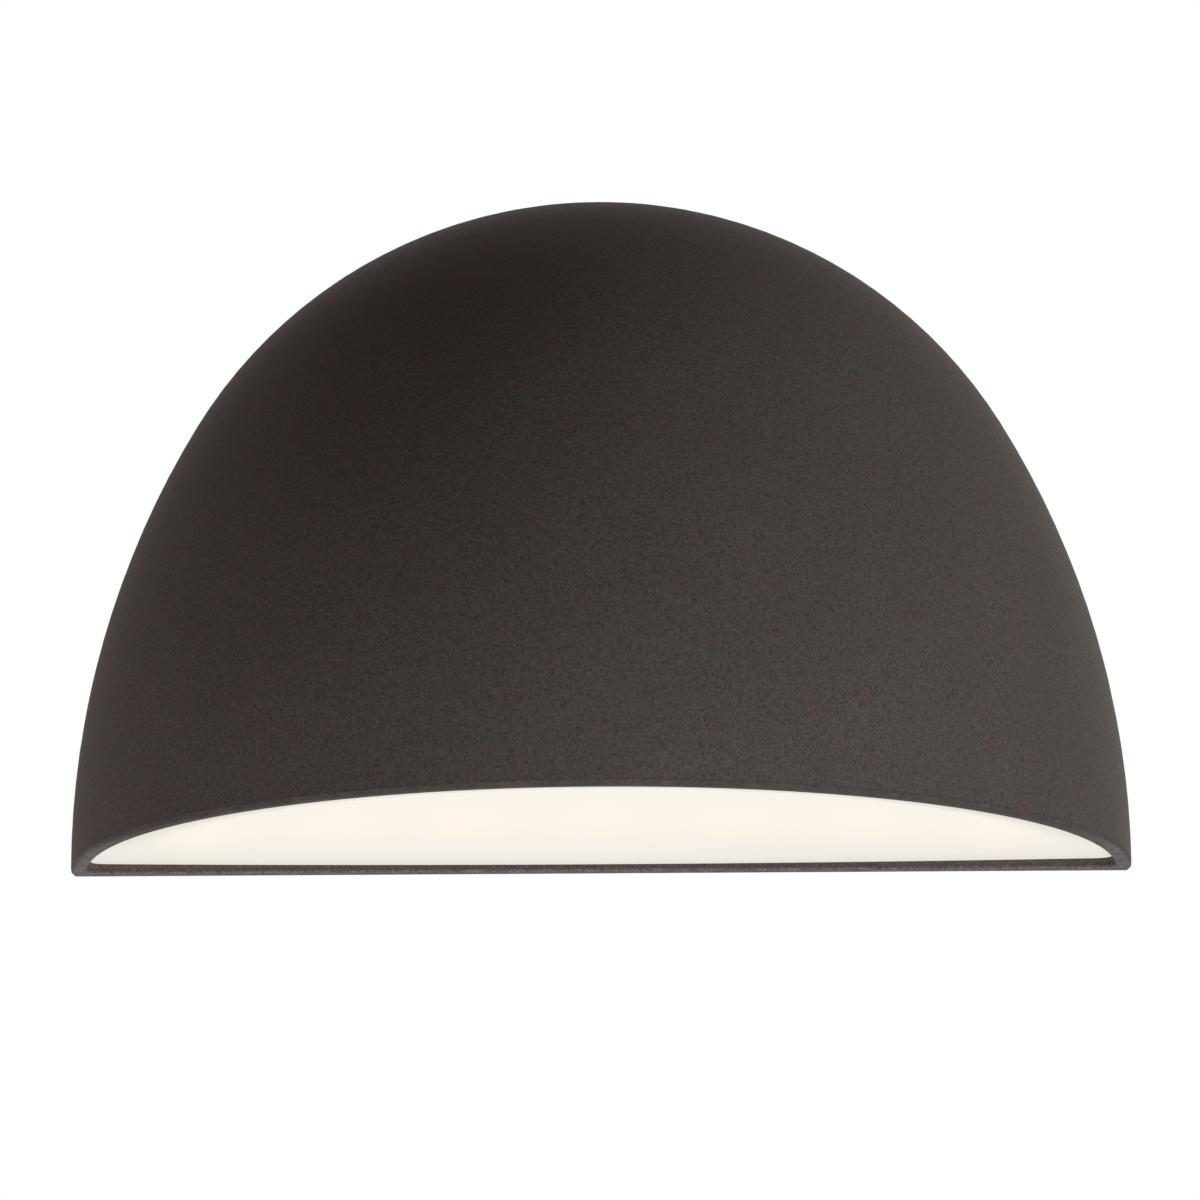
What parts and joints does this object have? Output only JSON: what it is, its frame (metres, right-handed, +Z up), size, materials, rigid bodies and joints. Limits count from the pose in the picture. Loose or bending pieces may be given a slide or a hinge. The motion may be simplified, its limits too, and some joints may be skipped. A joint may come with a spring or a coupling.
{
  "type": "outdoor wall light",
  "caption": "Half-dome outdoor wall light that shines down through a flat frosted lens, on a slide-on mounting plate with side set screws.",
  "frame": {"origin": "centre of the junction box, on the wall's surface, at the middle of the mounting plate's two screw slots", "axes": "+Z up; the wall is the plane y = 0 and +Y points into it; the dome stands out along -Y; +X is to the viewer's right when facing the wall"},
  "size_m": [0.254, 0.1285, 0.162],
  "materials": {
    "powder_coat": "dark bronze powder coat, fine texture",
    "frosted_lens": "frosted, lets light through",
    "foam_gasket": "closed-cell foam",
    "sealant": "cured silicone",
    "tray_metal": "milled sheet",
    "white_reflector": "matte white",
    "board_mask": "white solder mask",
    "thermal_silicone": "soft grey silicone",
    "phosphor": "yellow phosphor dome",
    "screw_steel": "stainless",
    "driver_black": "moulded, matt",
    "driver_grey": "moulded, matt",
    "terminal_white": "moulded nylon",
    "lead_red": "insulation",
    "lead_black": "insulation",
    "lead_white": "insulation",
    "bush_black": "moulded rubber",
    "zinc_plate": "galvanised sheet",
    "ground_green": "green coated screw"
  },
  "bodies": {
    "plate": {"mounting_plate": "zinc_plate", "wire_bushing": "bush_black", "plate_ground_screw": "ground_green"},
    "housing": {"dome_housing": "powder_coat", "wall_gasket": "foam_gasket", "lens_diffuser": "frosted_lens", "lens_seal": "sealant", "light_tray": "tray_metal", "tray_screws": "screw_steel", "reflector": "white_reflector", "led_board": "board_mask", "thermal_pad": "thermal_silicone", "leds": "phosphor", "led_board_screws": "screw_steel", "driver_case": "driver_black", "driver_cover": "driver_grey", "supply_terminal": "terminal_white", "module_screws": "screw_steel", "led_lead_positive": "lead_red", "led_lead_negative": "lead_black", "input_lead_live": "lead_black", "input_lead_neutral": "lead_white", "lead_bushing": "bush_black", "set_screws": "screw_steel"}
  },
  "joints": [
    {"name": "housing_slide", "type": "slide", "parent": "plate", "child": "housing", "axis": [0, -1, 0], "range_m": [0, 0.02]}
  ]
}
